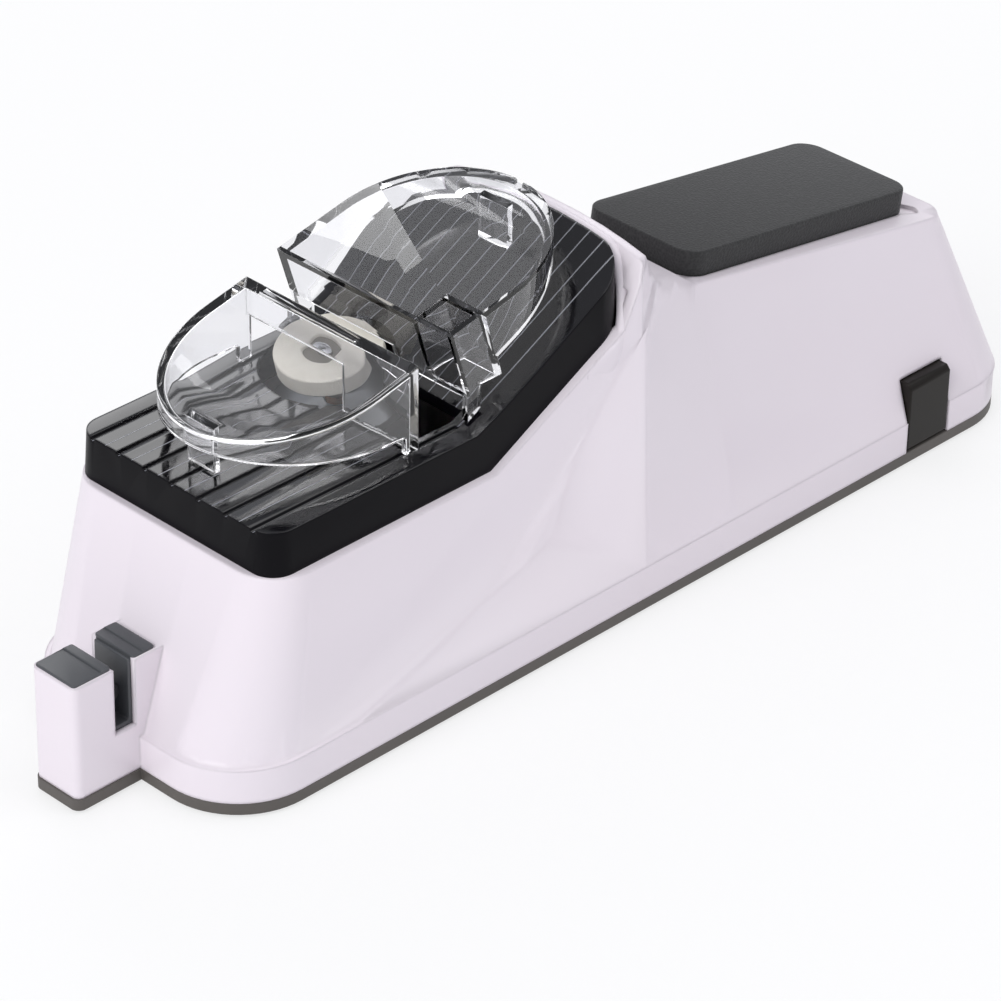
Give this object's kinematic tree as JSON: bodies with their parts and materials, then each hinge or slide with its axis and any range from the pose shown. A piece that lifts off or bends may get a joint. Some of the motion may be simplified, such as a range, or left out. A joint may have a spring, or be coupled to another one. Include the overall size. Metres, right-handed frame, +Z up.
{
  "type": "electric knife sharpener",
  "caption": "Benchtop electric knife sharpener with a tilted abrasive wheel under clear slotted guards, a foam finishing pad, a side push button and a small slotted hand sharpener on its nose.",
  "frame": {"origin": "centre of the outline in plan, on the plane the feet stand on", "axes": "+Z up, -X towards the slotted nose block, -Y towards the side with the push button"},
  "size_m": [0.2564, 0.067, 0.0913],
  "materials": {
    "dark_plastic": "moulded, fine grain",
    "rubber": "moulded rubber",
    "screw_steel": "zinc plated",
    "white_plastic": "moulded, satin gloss",
    "foam": "closed-cell foam",
    "dark_plastic_2": "moulded, fine grain",
    "ceramic": "sintered, matte",
    "black_plastic": "moulded, high gloss",
    "clear_plastic": "clear moulded",
    "abrasive": "bonded abrasive, matte",
    "nylon": "moulded nylon",
    "bright_steel": "drawn bright",
    "plated_steel": "zinc plated pressing",
    "bronze": "sintered",
    "winding": "enamelled wire and stacked sheet",
    "black_nylon": "moulded",
    "brass": "stamped",
    "cell_sleeve": "shrink sleeve",
    "board": "laminate",
    "component_black": "moulded",
    "button_plastic": "moulded, satin"
  },
  "bodies": {
    "body": {"base_plate": "dark_plastic", "feet": "rubber", "base_screws": "screw_steel", "housing_shell": "white_plastic", "foam_pad": "foam", "slot_liner": "dark_plastic_2", "honing_plates": "ceramic", "top_cover": "black_plastic", "motor_can": "plated_steel", "motor_bearing": "bronze", "motor_end_cap": "black_nylon", "motor_tabs": "brass", "motor_bracket": "plated_steel", "motor_screws": "screw_steel", "battery_cells": "cell_sleeve", "battery_holder": "black_nylon", "battery_contacts": "plated_steel", "circuit_board": "board", "board_parts": "component_black", "push_switch": "component_black", "inlet_shell": "bright_steel", "inlet_tongue": "component_black", "button_spring": "bright_steel"},
    "wheel": {"grinding_wheel": "abrasive", "wheel_hub": "nylon", "motor_shaft": "bright_steel", "retaining_cap": "bright_steel", "motor_rotor": "winding"},
    "guard_front": {"guard_front": "clear_plastic"},
    "guard_rear": {"guard_rear": "clear_plastic"},
    "battery_door": {"battery_door": "dark_plastic"},
    "power_button": {"power_button": "button_plastic", "switch_stem": "nylon"}
  },
  "joints": [
    {"name": "wheel_spin", "type": "hinge", "parent": "body", "child": "wheel", "pos_m": [-0.0452, 0.0096, 0.0633], "axis": [-0.2419, 0, 0.9703], "continuous": true},
    {"name": "front_guard_lift", "type": "slide", "parent": "body", "child": "guard_front", "axis": [0, 0, 1], "range_m": [0, 0.03]},
    {"name": "rear_guard_lift", "type": "slide", "parent": "body", "child": "guard_rear", "axis": [0, 0, 1], "range_m": [0, 0.03]},
    {"name": "battery_door_drop", "type": "slide", "parent": "body", "child": "battery_door", "axis": [0, 0, -1], "range_m": [0, 0.02]},
    {"name": "button_push", "type": "slide", "parent": "body", "child": "power_button", "axis": [0, 1, 0], "range_m": [0, 0.0016], "stiffness_N_per_m": 400, "springref_m": -0.001, "deforming": ["button_spring"]}
  ]
}
